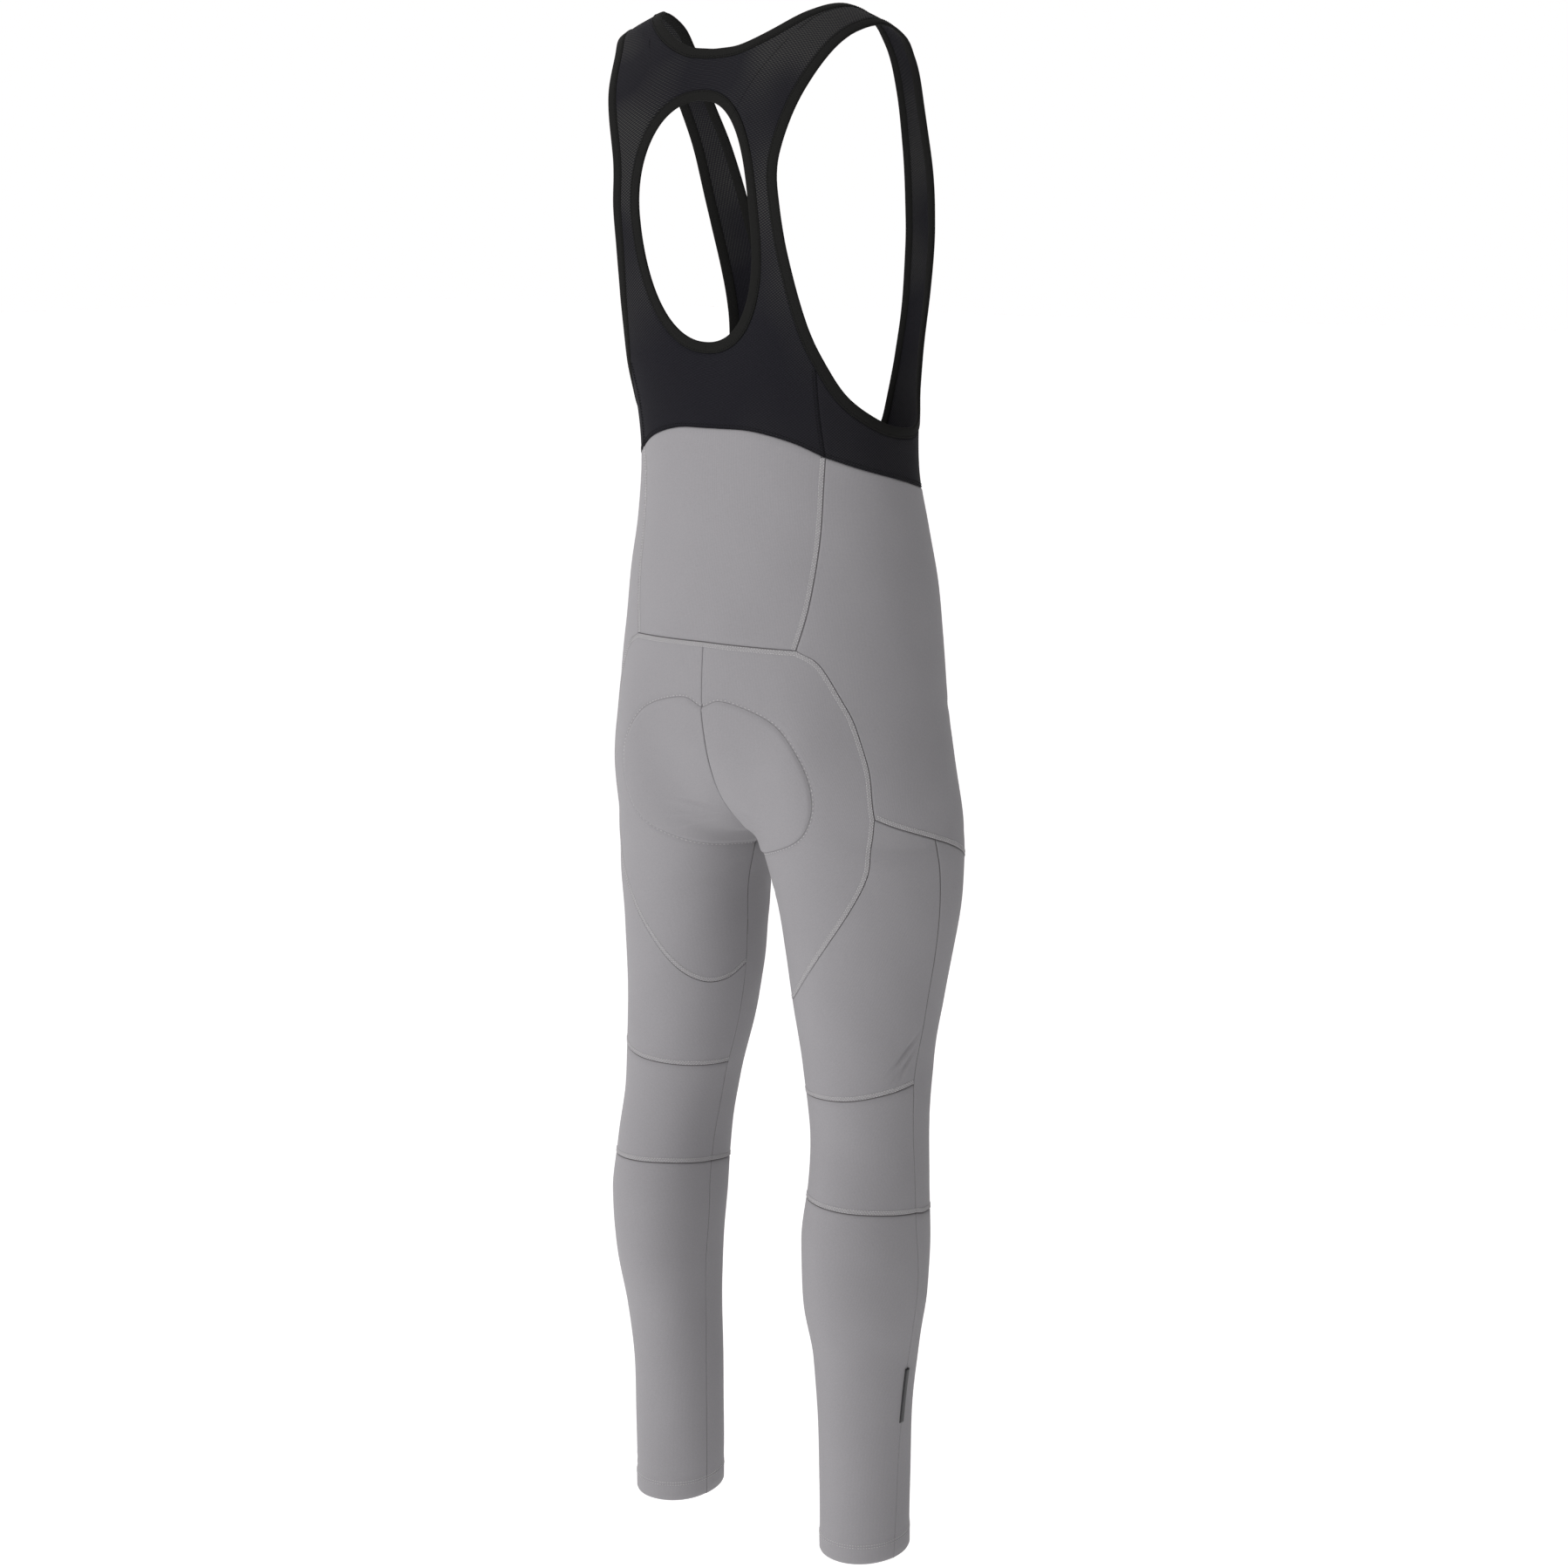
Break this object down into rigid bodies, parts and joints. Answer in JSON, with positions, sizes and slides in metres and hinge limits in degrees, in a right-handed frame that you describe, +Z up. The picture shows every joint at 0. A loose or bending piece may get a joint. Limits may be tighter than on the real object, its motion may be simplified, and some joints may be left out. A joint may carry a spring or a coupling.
{
  "type": "bib cycling tights",
  "caption": "Long cycling tights with a bib, shoulder straps and an oval back cut-out, in worn shape.",
  "frame": {"origin": "middle of the shoulder line, where the wearer's shoulders carry the straps", "axes": "+Z up, the front faces -Y, the wearer's left is +X"},
  "size_m": [0.3566, 0.2523, 1.4342],
  "materials": {
    "knit": "matte fine knit",
    "bib": "matte mesh knit",
    "band": "matte elastic",
    "pad": "brushed foam-backed knit",
    "tab": "reflective tape"
  },
  "bodies": {
    "root": {"waist_back": "knit", "hip_right": "knit", "hip_left": "knit", "seat_right": "knit", "seat_left": "knit", "thigh_back_right": "knit", "thigh_back_left": "knit", "thigh_front_right": "knit", "thigh_front_left": "knit", "knee_back_right": "knit", "knee_back_left": "knit", "calf_right": "knit", "calf_left": "knit", "shin_right": "knit", "shin_left": "knit", "bib_back": "bib", "bib_front_right": "bib", "bib_front_left": "bib", "neck_binding": "band", "armhole_binding_right": "band", "armhole_binding_left": "band", "cutout_binding": "band", "seat_pad": "pad", "reflective_tab": "tab"}
  },
  "joints": []
}
